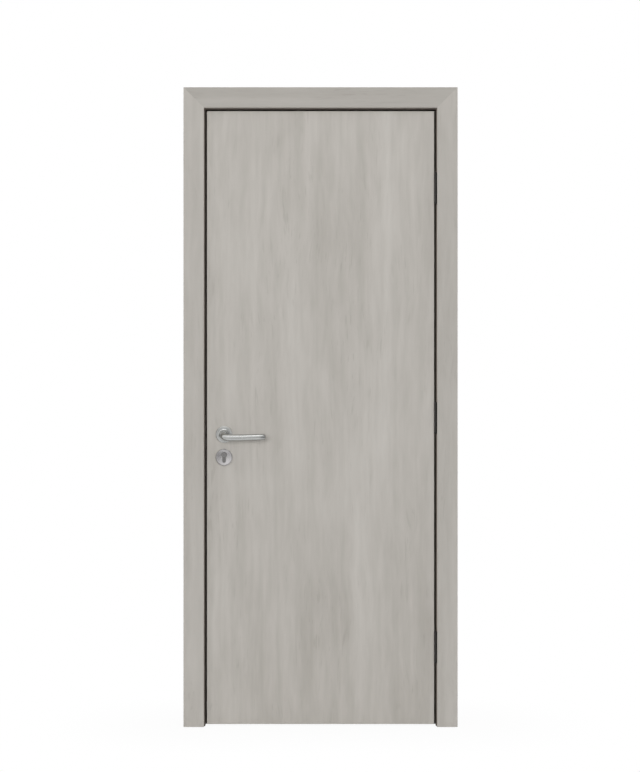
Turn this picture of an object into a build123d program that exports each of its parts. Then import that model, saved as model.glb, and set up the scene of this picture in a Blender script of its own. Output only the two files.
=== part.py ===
from build123d import *
import os

# Interior door: a laminated leaf hung in a rebated frame with casings on both
# faces of the wall. Millimetres, +Z up, the photographed face looks to -Y.
# The origin is on the back face of the hinge jamb, at floor level and half
# way through the wall. The leaf hangs on the right and opens towards -Y.
#
# Sections of the frame are drawn with u and v: u runs outward from the edge
# of the leaf, v runs from the front face of the leaf towards the rear.

# Leaf
leaf_width = 735
leaf_height = 1985
leaf_thickness = 40
floor_gap = 7
skin_thickness = 4
lipping_thickness = 2

# Frame and wall
wall_depth = 100
edge_gap = 6.5
liner_thickness = 1.5
jamb_thickness = 28.5
stop_cover = 9
stop_clearance = 5
stop_edge_radius = 1.5

# Casings
casing_width = 66
casing_thickness = 15
casing_edge_radius = 1.5
front_casing_setback = 9.5
rear_casing_reveal = 5

# Rubber seal and liner in the rebate
flange_thickness = 2
seal_base_thickness = 1.2
seal_base_inset = 2
bulb_radius = 2.3
bulb_inset = 3.5
bulb_clearance = 0.3

# Hinges
hinge_height = 100
hinge_plate_thickness = 2.5
hinge_plate_reach = 38
knuckle_radius = 4.4
hinge_axis_u = 4.7
hinge_axis_v = -5
pin_radius = 2
pin_head_radius = 3.2
pin_head_height = 2
pin_clearance = 0.05
knuckle_end_gap = 0.25
knuckle_side_gap = 0.4
middle_knuckle_height = 40
hinge_end_distance = 250
hinge_screw_seat_radius = 4
hinge_screw_rows = 64
hinge_screw_columns = 14
hinge_screw_edge = 9
window_clearance = 0.5

# Lock
backset = 55
spindle_height = 945
spindle_to_plug = 66
case_height = 170
case_above_spindle = 48
case_depth = 85
case_thickness = 15
case_clearance = 0.5
faceplate_width = 20
faceplate_height = 235
faceplate_thickness = 3
faceplate_clearance = 0.2
latch_width = 10
latch_height = 22
latch_length = 30
latch_bevel = 7
latch_above_spindle = 20
bolt_width = 8
bolt_height = 30
bolt_length = 35
bolt_below_spindle = 31
bolt_clearance = 0.3
face_screw_seat_radius = 4
face_screw_inset = 10
follower_radius = 9
running_clearance = 0.05
spindle_side = 8

# Strike plate in the lock jamb
strike_width = 24
strike_height = 200
strike_hole_margin = 2
strike_pocket_depth = 18
strike_screw_inset = 12

# Profile cylinder
plug_radius = 8.5
cylinder_leg_width = 10
cylinder_profile_height = 33
cylinder_clearance = 0.4
cylinder_passage_clearance = 1.5
cylinder_proud = 1.5
keyway_width = 2
keyway_height = 8
keyway_depth = 12

# Roses
rose_radius = 27
rose_thickness = 8.5
rose_chamfer = 2.2
dish_radius = 23.8
dish_floor_radius = 10
dish_depth = 2.5
rose_boss_radius = 13
rose_boss_depth = 3
lever_passage_radius = 14

# Levers
bar_radius = 10.5
collar_radius = 11
flare_radius = 18
flare_length = 12
flare_rim = 1.2
flare_lip = 0.8
flare_clearance = 0.4
neck_length = 24
tip_rounding = 8
lever_projection = 50
lever_drop = 9.5
grip_length = 135
smile_rise = 2.4
smile_place = 56
tip_turn_length = 16
tip_turn_depth = 5
neck_bend_radius = 21
shoulder_radius = 24
smile_radius = 420
tip_bend_radius = 24
socket_depth = 20

# Places worked out from the sizes above
rebate_depth = leaf_thickness + stop_clearance
rebate_u = edge_gap + liner_thickness
jamb_back_u = rebate_u + jamb_thickness
front_casing_u = front_casing_setback
casing_outer_u = front_casing_u + casing_width
rear_casing_u = rear_casing_reveal - stop_cover
hinge_edge_x = -jamb_back_u
lock_edge_x = hinge_edge_x - leaf_width
leaf_bottom = floor_gap
leaf_top = leaf_bottom + leaf_height
leaf_front_y = -wall_depth / 2
leaf_rear_y = leaf_front_y + leaf_thickness
leaf_middle_y = leaf_front_y + leaf_thickness / 2
leaf_middle_x = (hinge_edge_x + lock_edge_x) / 2
leaf_middle_z = (leaf_bottom + leaf_top) / 2
spindle_x = lock_edge_x + backset
spindle_z = spindle_height
plug_z = spindle_z - spindle_to_plug
profile_middle_z = plug_z + plug_radius - cylinder_profile_height / 2
faceplate_middle_z = spindle_z + case_above_spindle - case_height / 2
latch_z = spindle_z + latch_above_spindle
bolt_z = spindle_z - bolt_below_spindle
hinge_centres = {
    "top": leaf_top - hinge_end_distance,
    "middle": leaf_middle_z,
    "bottom": leaf_bottom + hinge_end_distance,
}

# Each run of the frame has its own section plane, with local x along u and
# local y along v, and is cut to a mitre at 45 degrees where runs meet.
section_planes = {
    "hinge": Plane(
        origin=(hinge_edge_x, leaf_front_y, 0), x_dir=(1, 0, 0), z_dir=(0, 0, 1)
    ),
    "lock": Plane(
        origin=(lock_edge_x, leaf_front_y, 0), x_dir=(-1, 0, 0), z_dir=(0, 0, -1)
    ),
    "head": Plane(
        origin=(hinge_edge_x + casing_outer_u, leaf_front_y, leaf_top),
        x_dir=(0, 0, 1),
        z_dir=(-1, 0, 0),
    ),
}
run_lengths = {
    "hinge": leaf_top + casing_outer_u,
    "lock": -(leaf_top + casing_outer_u),
    "head": leaf_width + 2 * casing_outer_u,
}
hinge_corner = (hinge_edge_x, 0, leaf_top)
lock_corner = (lock_edge_x, 0, leaf_top)
mitre_planes = {
    "hinge": [Plane(origin=hinge_corner, z_dir=(1, 0, -1))],
    "lock": [Plane(origin=lock_corner, z_dir=(-1, 0, -1))],
    "head": [
        Plane(origin=hinge_corner, z_dir=(-1, 0, 1)),
        Plane(origin=lock_corner, z_dir=(1, 0, 1)),
    ],
}

os.makedirs("parts", exist_ok=True)


def save(builder, label):
    """Label a finished piece and write its file."""
    builder.part.label = label
    export_step(builder.part, f"parts/{label}.step")


def edge_plane(x):
    """Plane square to X at mid leaf, with local x along +Y and local y up."""
    return Plane(origin=(x, leaf_middle_y, 0), x_dir=(0, 1, 0), z_dir=(1, 0, 0))


def face_plane(y):
    """Plane that looks towards -Y, with local x along +X and local y up."""
    return Plane(origin=(0, y, 0), x_dir=(1, 0, 0), z_dir=(0, -1, 0))


# Sections of the frame, drawn in u and v
with BuildSketch() as jamb_section:
    with BuildLine():
        Polyline(
            (front_casing_u, 0),
            (jamb_back_u, 0),
            (jamb_back_u, wall_depth),
            (-stop_cover, wall_depth),
            (-stop_cover, rebate_depth),
            (rebate_u, rebate_depth),
            (rebate_u, flange_thickness),
            (front_casing_u, flange_thickness),
            close=True,
        )
    make_face()
    stop_corners = jamb_section.vertices().group_by(Axis.X)[0]
    fillet(stop_corners, radius=stop_edge_radius)

with BuildSketch() as front_casing_section:
    with Locations((front_casing_u + casing_width / 2, -casing_thickness / 2)):
        Rectangle(casing_width, casing_thickness)
    outer_corners = front_casing_section.vertices().group_by(Axis.Y)[0]
    fillet(outer_corners, radius=casing_edge_radius)

with BuildSketch() as rear_casing_section:
    with Locations((rear_casing_u + casing_width / 2, wall_depth + casing_thickness / 2)):
        Rectangle(casing_width, casing_thickness)
    outer_corners = rear_casing_section.vertices().group_by(Axis.Y)[-1]
    fillet(outer_corners, radius=casing_edge_radius)

with BuildSketch() as seal_section:
    base_v = rebate_depth - seal_base_thickness
    base_end_u = seal_base_inset - stop_cover
    with BuildLine():
        Polyline(
            (edge_gap, 0),
            (front_casing_u, 0),
            (front_casing_u, flange_thickness),
            (rebate_u, flange_thickness),
            (rebate_u, rebate_depth),
            (base_end_u, rebate_depth),
            (base_end_u, base_v),
            (edge_gap, base_v),
            close=True,
        )
    make_face()
    with Locations((-bulb_inset, leaf_thickness + bulb_clearance + bulb_radius)):
        Circle(bulb_radius)

# Hollows in the lock jamb for the latch and the bolt, and the strike plate
with BuildSketch() as strike_holes:
    with Locations((0, latch_z)):
        Rectangle(latch_width + 2 * strike_hole_margin, latch_height + 2 * strike_hole_margin)
    with Locations((0, bolt_z)):
        Rectangle(bolt_width + 2 * strike_hole_margin, bolt_height + 2 * strike_hole_margin)

with BuildPart() as strike_pockets:
    with BuildSketch(edge_plane(lock_edge_x - rebate_u)):
        add(strike_holes.sketch)
    extrude(amount=-strike_pocket_depth)

with BuildPart() as strike_window:
    with BuildSketch(edge_plane(lock_edge_x - rebate_u)):
        with Locations((0, faceplate_middle_z)):
            SlotOverall(
                strike_height + 2 * window_clearance,
                strike_width + 2 * window_clearance,
                rotation=90,
            )
    extrude(amount=liner_thickness)

with BuildPart() as strike_plate:
    with BuildSketch(edge_plane(lock_edge_x - rebate_u)):
        with Locations((0, faceplate_middle_z)):
            SlotOverall(strike_height, strike_width, rotation=90)
        add(strike_holes.sketch, mode=Mode.SUBTRACT)
    extrude(amount=liner_thickness)
    screw_reach = strike_height / 2 - strike_screw_inset
    screw_places = [(0, faceplate_middle_z + end * screw_reach) for end in (-1, 1)]
    with Locations(edge_plane(lock_edge_x - edge_gap)):
        with Locations(*screw_places):
            Hole(face_screw_seat_radius)
save(strike_plate, "strike_plate")

# Windows in the liner round the hinge plates
with BuildPart() as hinge_windows:
    window_height = hinge_height + 2 * window_clearance
    window_u = rebate_u + window_clearance
    window_v = hinge_plate_reach + window_clearance
    for centre in hinge_centres.values():
        with BuildSketch(section_planes["hinge"].offset(centre - window_height / 2)):
            Rectangle(window_u, window_v, align=(Align.MIN, Align.MIN))
        extrude(amount=window_height)

# Runs of the frame
sections = {
    "jamb": jamb_section.sketch,
    "casing_front": front_casing_section.sketch,
    "casing_rear": rear_casing_section.sketch,
    "seal": seal_section.sketch,
}
cut_outs = {
    ("jamb", "lock"): strike_pockets.part,
    ("seal", "lock"): strike_window.part,
    ("seal", "hinge"): hinge_windows.part,
}
for piece, section in sections.items():
    for side, plane in section_planes.items():
        with BuildPart() as run:
            with BuildSketch(plane):
                add(section)
            extrude(amount=run_lengths[side])
            for mitre in mitre_planes[side]:
                split(bisect_by=mitre, keep=Keep.TOP)
            if (piece, side) in cut_outs:
                add(cut_outs[piece, side], mode=Mode.SUBTRACT)
        save(run, f"{piece}_{side}")

# Hinges: two plates whose knuckles share a pin in the gap in front of the leaf
hinge_axis = (hinge_axis_u, hinge_axis_v)
end_knuckle_height = (hinge_height - middle_knuckle_height) / 2
middle_low = end_knuckle_height
middle_high = end_knuckle_height + middle_knuckle_height
plate_width = hinge_plate_reach - hinge_axis_v
screw_middle_v = hinge_plate_reach - hinge_screw_edge - hinge_screw_columns / 2
for place, centre in hinge_centres.items():
    base = section_planes["hinge"].offset(centre - hinge_height / 2)
    top = base.offset(hinge_height)

    with BuildPart() as frame_plate:
        with BuildSketch(base):
            with Locations((rebate_u - hinge_plate_thickness, hinge_axis_v)):
                Rectangle(hinge_plate_thickness, plate_width, align=(Align.MIN, Align.MIN))
            with Locations(hinge_axis):
                Circle(knuckle_radius)
        extrude(amount=hinge_height)
        with BuildSketch(base.offset(middle_low - knuckle_end_gap / 2)):
            with Locations(hinge_axis):
                Circle(knuckle_radius + knuckle_side_gap)
        extrude(amount=middle_knuckle_height + knuckle_end_gap, mode=Mode.SUBTRACT)
        with BuildSketch(base):
            with Locations(hinge_axis):
                Circle(pin_radius + pin_clearance)
        extrude(amount=hinge_height, mode=Mode.SUBTRACT)
        screw_face = Plane(
            origin=(
                hinge_edge_x + rebate_u - hinge_plate_thickness,
                leaf_front_y + screw_middle_v,
                centre,
            ),
            x_dir=(0, 1, 0),
            z_dir=(-1, 0, 0),
        )
        with Locations(screw_face):
            with GridLocations(hinge_screw_columns, hinge_screw_rows, 2, 2):
                Hole(hinge_screw_seat_radius)
    save(frame_plate, f"hinge_{place}_frame_plate")

    with BuildPart() as leaf_plate:
        with BuildSketch(base.offset(middle_low + knuckle_end_gap / 2)):
            with Locations((0, hinge_axis_v)):
                Rectangle(hinge_plate_thickness, plate_width, align=(Align.MIN, Align.MIN))
            with Locations(hinge_axis):
                Circle(knuckle_radius)
        extrude(amount=middle_knuckle_height - knuckle_end_gap)
        with BuildSketch(base):
            Rectangle(hinge_plate_thickness, hinge_plate_reach, align=(Align.MIN, Align.MIN))
        extrude(amount=hinge_height)
        for low, high in ((0, middle_low), (middle_high, hinge_height)):
            with BuildSketch(base.offset(low)):
                with Locations(hinge_axis):
                    Circle(knuckle_radius + knuckle_side_gap)
            extrude(amount=high - low, mode=Mode.SUBTRACT)
        with BuildSketch(base):
            with Locations(hinge_axis):
                Circle(pin_radius + pin_clearance)
        extrude(amount=hinge_height, mode=Mode.SUBTRACT)
        screw_face = Plane(
            origin=(
                hinge_edge_x + hinge_plate_thickness,
                leaf_front_y + screw_middle_v,
                centre,
            ),
            x_dir=(0, -1, 0),
            z_dir=(1, 0, 0),
        )
        with Locations(screw_face):
            with GridLocations(hinge_screw_columns, hinge_screw_rows, 2, 2):
                Hole(hinge_screw_seat_radius)
    save(leaf_plate, f"hinge_{place}_leaf_plate")

    with BuildPart() as pin:
        with BuildSketch(base):
            with Locations(hinge_axis):
                Circle(pin_radius)
        extrude(amount=hinge_height)
        for plane, direction in ((base, -1), (top, 1)):
            with BuildSketch(plane):
                with Locations(hinge_axis):
                    Circle(pin_head_radius)
            extrude(amount=direction * pin_head_height)
    save(pin, f"hinge_{place}_pin")

# Hollows in the leaf for the lock, the faceplate, the levers and the cylinder
with BuildSketch() as cylinder_profile:
    Circle(plug_radius)
    leg_bottom = plug_radius - cylinder_profile_height + cylinder_leg_width / 2
    with Locations((0, leg_bottom)):
        Circle(cylinder_leg_width / 2)
    Rectangle(cylinder_leg_width, -leg_bottom, align=(Align.CENTER, Align.MAX))

with BuildSketch() as cylinder_passage:
    offset(cylinder_profile.sketch, amount=cylinder_passage_clearance)

with BuildSketch() as cylinder_seat:
    offset(cylinder_profile.sketch, amount=cylinder_clearance)

with BuildPart() as lock_pocket:
    pocket_depth = faceplate_thickness + case_depth + case_clearance
    with BuildSketch(edge_plane(lock_edge_x)):
        with Locations((0, faceplate_middle_z)):
            Rectangle(case_thickness + 2 * case_clearance, case_height + 2 * case_clearance)
    extrude(amount=pocket_depth)
    with BuildSketch(edge_plane(lock_edge_x)):
        with Locations((0, faceplate_middle_z)):
            SlotOverall(
                faceplate_height + 2 * faceplate_clearance,
                faceplate_width + 2 * faceplate_clearance,
                rotation=90,
            )
    extrude(amount=faceplate_thickness)

with BuildPart() as passages:
    with BuildSketch(face_plane(leaf_rear_y)):
        with Locations((spindle_x, spindle_z)):
            Circle(lever_passage_radius)
    extrude(amount=leaf_thickness)
    with BuildSketch(face_plane(leaf_rear_y)):
        with Locations((spindle_x, plug_z)):
            add(cylinder_passage.sketch)
    extrude(amount=leaf_thickness)

# Leaf: a core between two skins, with a lipping on every edge
core_front_y = leaf_front_y + skin_thickness
core_thickness = leaf_thickness - 2 * skin_thickness
core_width = leaf_width - 2 * lipping_thickness
core_height = leaf_height - 2 * lipping_thickness
with BuildPart() as leaf_core:
    with BuildSketch(face_plane(core_front_y + core_thickness)):
        with Locations((leaf_middle_x, leaf_middle_z)):
            Rectangle(core_width, core_height)
    extrude(amount=core_thickness)
    add(lock_pocket.part, mode=Mode.SUBTRACT)
    add(passages.part, mode=Mode.SUBTRACT)
save(leaf_core, "leaf_core")

skin_rear_faces = {"front": core_front_y, "rear": leaf_rear_y}
for face, rear_y in skin_rear_faces.items():
    with BuildPart() as skin:
        with BuildSketch(face_plane(rear_y)):
            with Locations((leaf_middle_x, leaf_middle_z)):
                Rectangle(core_width, core_height)
        extrude(amount=skin_thickness)
        add(passages.part, mode=Mode.SUBTRACT)
    save(skin, f"leaf_skin_{face}")

with BuildPart() as side_lipping:
    with BuildSketch(face_plane(leaf_rear_y)):
        with Locations((hinge_edge_x, leaf_middle_z)):
            Rectangle(lipping_thickness, leaf_height, align=(Align.MAX, Align.CENTER))
    extrude(amount=leaf_thickness)
save(side_lipping, "leaf_lipping_hinge")

with BuildPart() as lock_lipping:
    with BuildSketch(face_plane(leaf_rear_y)):
        with Locations((lock_edge_x, leaf_middle_z)):
            Rectangle(lipping_thickness, leaf_height, align=(Align.MIN, Align.CENTER))
    extrude(amount=leaf_thickness)
    add(lock_pocket.part, mode=Mode.SUBTRACT)
save(lock_lipping, "leaf_lipping_lock")

end_lippings = {"top": (leaf_top, Align.MAX), "bottom": (leaf_bottom, Align.MIN)}
for end, (edge_z, align) in end_lippings.items():
    with BuildPart() as end_lipping:
        with BuildSketch(face_plane(leaf_rear_y)):
            with Locations((leaf_middle_x, edge_z)):
                Rectangle(core_width, lipping_thickness, align=(Align.CENTER, align))
        extrude(amount=leaf_thickness)
    save(end_lipping, f"leaf_lipping_{end}")

# Mortice lock: faceplate, case, latch, bolt and follower
with BuildSketch() as latch_outline:
    with Locations((0, latch_z)):
        Rectangle(latch_width, latch_height)

with BuildSketch() as bolt_outline:
    with Locations((0, bolt_z)):
        Rectangle(bolt_width, bolt_height)

with BuildPart() as bolt_slots:
    with BuildSketch(edge_plane(lock_edge_x)):
        offset(latch_outline.sketch, amount=bolt_clearance, kind=Kind.INTERSECTION)
    extrude(amount=latch_length + bolt_clearance)
    with BuildSketch(edge_plane(lock_edge_x)):
        offset(bolt_outline.sketch, amount=bolt_clearance, kind=Kind.INTERSECTION)
    extrude(amount=bolt_length + bolt_clearance)

with BuildPart() as lock_faceplate:
    with BuildSketch(edge_plane(lock_edge_x)):
        with Locations((0, faceplate_middle_z)):
            SlotOverall(faceplate_height, faceplate_width, rotation=90)
    extrude(amount=faceplate_thickness)
    add(bolt_slots.part, mode=Mode.SUBTRACT)
    face_screw_reach = faceplate_height / 2 - face_screw_inset
    face_screw_places = [(0, faceplate_middle_z + end * face_screw_reach) for end in (-1, 1)]
    with BuildSketch(edge_plane(lock_edge_x)):
        with Locations(*face_screw_places):
            Circle(face_screw_seat_radius)
    extrude(amount=faceplate_thickness, mode=Mode.SUBTRACT)
save(lock_faceplate, "lock_faceplate")

with BuildPart() as lock_case:
    with BuildSketch(edge_plane(lock_edge_x + faceplate_thickness)):
        with Locations((0, faceplate_middle_z)):
            Rectangle(case_thickness, case_height)
    extrude(amount=case_depth)
    add(bolt_slots.part, mode=Mode.SUBTRACT)
    with BuildSketch(face_plane(leaf_rear_y)):
        with Locations((spindle_x, spindle_z)):
            Circle(follower_radius + running_clearance)
    extrude(amount=leaf_thickness, mode=Mode.SUBTRACT)
    with BuildSketch(face_plane(leaf_rear_y)):
        with Locations((spindle_x, plug_z)):
            add(cylinder_seat.sketch)
    extrude(amount=leaf_thickness, mode=Mode.SUBTRACT)
save(lock_case, "lock_case")

with BuildPart() as latch_bolt:
    with BuildSketch(edge_plane(lock_edge_x)):
        add(latch_outline.sketch)
    extrude(amount=latch_length)
    latch_nose = latch_bolt.faces().sort_by(Axis.X)[0]
    closing_edge = latch_nose.edges().sort_by(Axis.Y)[-1]
    chamfer(closing_edge, length=latch_bevel)
save(latch_bolt, "latch_bolt")

with BuildPart() as dead_bolt:
    with BuildSketch(edge_plane(lock_edge_x)):
        add(bolt_outline.sketch)
    extrude(amount=bolt_length)
save(dead_bolt, "dead_bolt")

with BuildPart() as follower:
    with BuildSketch(face_plane(leaf_middle_y + case_thickness / 2)):
        with Locations((spindle_x, spindle_z)):
            Circle(follower_radius)
            Rectangle(spindle_side, spindle_side, mode=Mode.SUBTRACT)
    extrude(amount=case_thickness)
save(follower, "lock_follower")

# Profile cylinder through the leaf, from rose to rose
cylinder_reach = rose_thickness + cylinder_proud
with BuildPart() as euro_cylinder:
    with BuildSketch(face_plane(leaf_rear_y + cylinder_reach)):
        with Locations((spindle_x, plug_z)):
            add(cylinder_profile.sketch)
    extrude(amount=leaf_thickness + 2 * cylinder_reach)
    for end_y, direction in (
        (leaf_front_y - cylinder_reach, -1),
        (leaf_rear_y + cylinder_reach, 1),
    ):
        with BuildSketch(face_plane(end_y)):
            with Locations((spindle_x, plug_z)):
                Rectangle(keyway_width, keyway_height)
        extrude(amount=direction * keyway_depth, mode=Mode.SUBTRACT)
save(euro_cylinder, "euro_cylinder")

# Roses: a raised rim round a shallow dish, turned in front and mirrored at the rear
middle_plane = Plane.XZ.offset(-leaf_middle_y)
dish_plane = face_plane(leaf_front_y - rose_thickness + dish_depth)
dish_align = (Align.CENTER, Align.CENTER, Align.MIN)
with BuildPart() as lever_rose:
    with BuildSketch(face_plane(leaf_front_y)):
        with Locations((spindle_x, spindle_z)):
            Circle(rose_radius)
    extrude(amount=rose_thickness)
    chamfer(lever_rose.faces().sort_by(Axis.Y)[0].edges(), length=rose_chamfer)
    with Locations(dish_plane):
        with Locations((spindle_x, spindle_z)):
            Cone(dish_floor_radius, dish_radius, dish_depth, align=dish_align, mode=Mode.SUBTRACT)
    with BuildSketch(face_plane(leaf_front_y)):
        with Locations((spindle_x, spindle_z)):
            Circle(rose_boss_radius)
    extrude(amount=-rose_boss_depth)
    with BuildSketch(face_plane(leaf_front_y + rose_boss_depth)):
        with Locations((spindle_x, spindle_z)):
            Circle(collar_radius + running_clearance)
    extrude(amount=rose_boss_depth + rose_thickness, mode=Mode.SUBTRACT)

with BuildPart() as cylinder_rose:
    with BuildSketch(face_plane(leaf_front_y)):
        with Locations((spindle_x, profile_middle_z)):
            Circle(rose_radius)
    extrude(amount=rose_thickness)
    chamfer(cylinder_rose.faces().sort_by(Axis.Y)[0].edges(), length=rose_chamfer)
    with Locations(dish_plane):
        with Locations((spindle_x, profile_middle_z)):
            Cone(dish_floor_radius, dish_radius, dish_depth, align=dish_align, mode=Mode.SUBTRACT)
    with BuildSketch(face_plane(leaf_front_y)):
        with Locations((spindle_x, plug_z)):
            add(cylinder_seat.sketch)
    extrude(amount=rose_thickness, mode=Mode.SUBTRACT)

# Levers: a round bar swept along a bent path, with a flared foot on the rose
with BuildLine() as lever_path:
    FilletPolyline(
        (0, 0, 0),
        (0, -neck_length, 0),
        (0, -lever_projection, -lever_drop),
        (smile_place, -lever_projection, -lever_drop),
        (grip_length - tip_turn_length, -lever_projection, smile_rise - lever_drop),
        (grip_length, tip_turn_depth - lever_projection, smile_rise - lever_drop),
        radius=[shoulder_radius, neck_bend_radius, smile_radius, tip_bend_radius],
    )

dish_slope = dish_depth / (dish_radius - dish_floor_radius)
dish_at_flare = (dish_radius - flare_radius) * dish_slope
flare_foot = rose_thickness - dish_at_flare + flare_clearance
flare_rim_end = (flare_radius, -flare_foot - flare_rim)
flare_end = (bar_radius + flare_lip, -flare_foot - flare_length)
with BuildSketch() as flare_profile:
    with BuildLine():
        Polyline((0, -flare_foot), (flare_radius, -flare_foot), flare_rim_end)
        TangentArc(flare_end, flare_rim_end, tangent=(0, 1))
        Polyline(flare_end, (0, -flare_foot - flare_length), (0, -flare_foot))
    make_face()

with BuildPart() as lever:
    with BuildSketch(face_plane(0)):
        Circle(bar_radius)
    sweep(path=lever_path.wire())
    fillet(lever.edges().sort_by(Axis.X)[-1], radius=tip_rounding)
    with BuildSketch(face_plane(0)):
        Circle(collar_radius)
    extrude(amount=flare_foot)
    with BuildSketch():
        add(flare_profile.sketch)
    revolve(axis=Axis.Y)
    with BuildSketch(face_plane(0)):
        Rectangle(spindle_side, spindle_side)
    extrude(amount=socket_depth, mode=Mode.SUBTRACT)

with BuildPart() as lever_front:
    with Locations((spindle_x, leaf_front_y, spindle_z)):
        add(lever.part)

front_pieces = {
    "lever_rose": lever_rose.part,
    "cylinder_rose": cylinder_rose.part,
    "lever": lever_front.part,
}
for label, front_part in front_pieces.items():
    with BuildPart() as front_piece:
        add(front_part)
    save(front_piece, f"{label}_front")
    with BuildPart() as rear_piece:
        mirror(front_part, about=middle_plane)
    save(rear_piece, f"{label}_rear")

with BuildPart() as spindle:
    with BuildSketch(face_plane(leaf_rear_y + socket_depth)):
        with Locations((spindle_x, spindle_z)):
            Rectangle(spindle_side, spindle_side)
    extrude(amount=leaf_thickness + 2 * socket_depth)
save(spindle, "spindle")
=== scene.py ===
"""Looks of a plain laminated interior door in its frame: finishes, small fittings, light and camera.

Sizes are in metres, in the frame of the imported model: +Z up, the photographed face towards -Y,
the hinges on the right, the origin on the back of the hinge jamb at floor level.
"""

import logging
import math
from dataclasses import dataclass, replace
from enum import Enum

import bmesh
import bpy
from mathutils import Matrix, Vector


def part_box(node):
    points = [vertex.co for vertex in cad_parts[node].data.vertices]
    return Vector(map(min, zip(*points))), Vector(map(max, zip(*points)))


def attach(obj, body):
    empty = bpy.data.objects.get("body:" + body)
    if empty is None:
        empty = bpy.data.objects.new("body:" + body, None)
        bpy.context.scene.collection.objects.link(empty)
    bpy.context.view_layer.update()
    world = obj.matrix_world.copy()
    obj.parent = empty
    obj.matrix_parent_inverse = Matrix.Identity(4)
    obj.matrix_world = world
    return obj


log = logging.getLogger("door")

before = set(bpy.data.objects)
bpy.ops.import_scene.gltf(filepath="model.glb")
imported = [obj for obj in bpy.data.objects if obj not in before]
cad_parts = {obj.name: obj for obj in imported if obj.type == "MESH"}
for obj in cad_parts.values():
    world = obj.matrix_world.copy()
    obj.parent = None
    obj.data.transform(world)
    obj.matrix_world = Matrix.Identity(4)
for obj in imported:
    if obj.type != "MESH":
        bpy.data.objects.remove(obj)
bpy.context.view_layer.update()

Triple = tuple[float, float, float]
Colour = tuple[float, float, float]
Span = tuple[float, float]
Socket = bpy.types.NodeSocket
Sockets = bpy.types.bpy_prop_collection
Input = Socket | float | Triple

MM = 0.001
MERGE_DISTANCE = 0.005 * MM
QUARTER_TURN = math.pi / 2
HINGE_PLACES = ("top", "middle", "bottom")
WIDEST_NODE = "casing_front_head"
NUMBER = "NodeSocketFloat"
VECTOR = "NodeSocketVector"


class GrainRun(Enum):
    """Which way the grain of a board runs."""

    UP = "up"
    ACROSS = "across"


class Sum(Enum):
    """What a math node works out."""

    ADD = "ADD"
    SUBTRACT = "SUBTRACT"
    MULTIPLY = "MULTIPLY"
    LARGER = "MAXIMUM"
    UNSIGNED = "ABSOLUTE"


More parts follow.
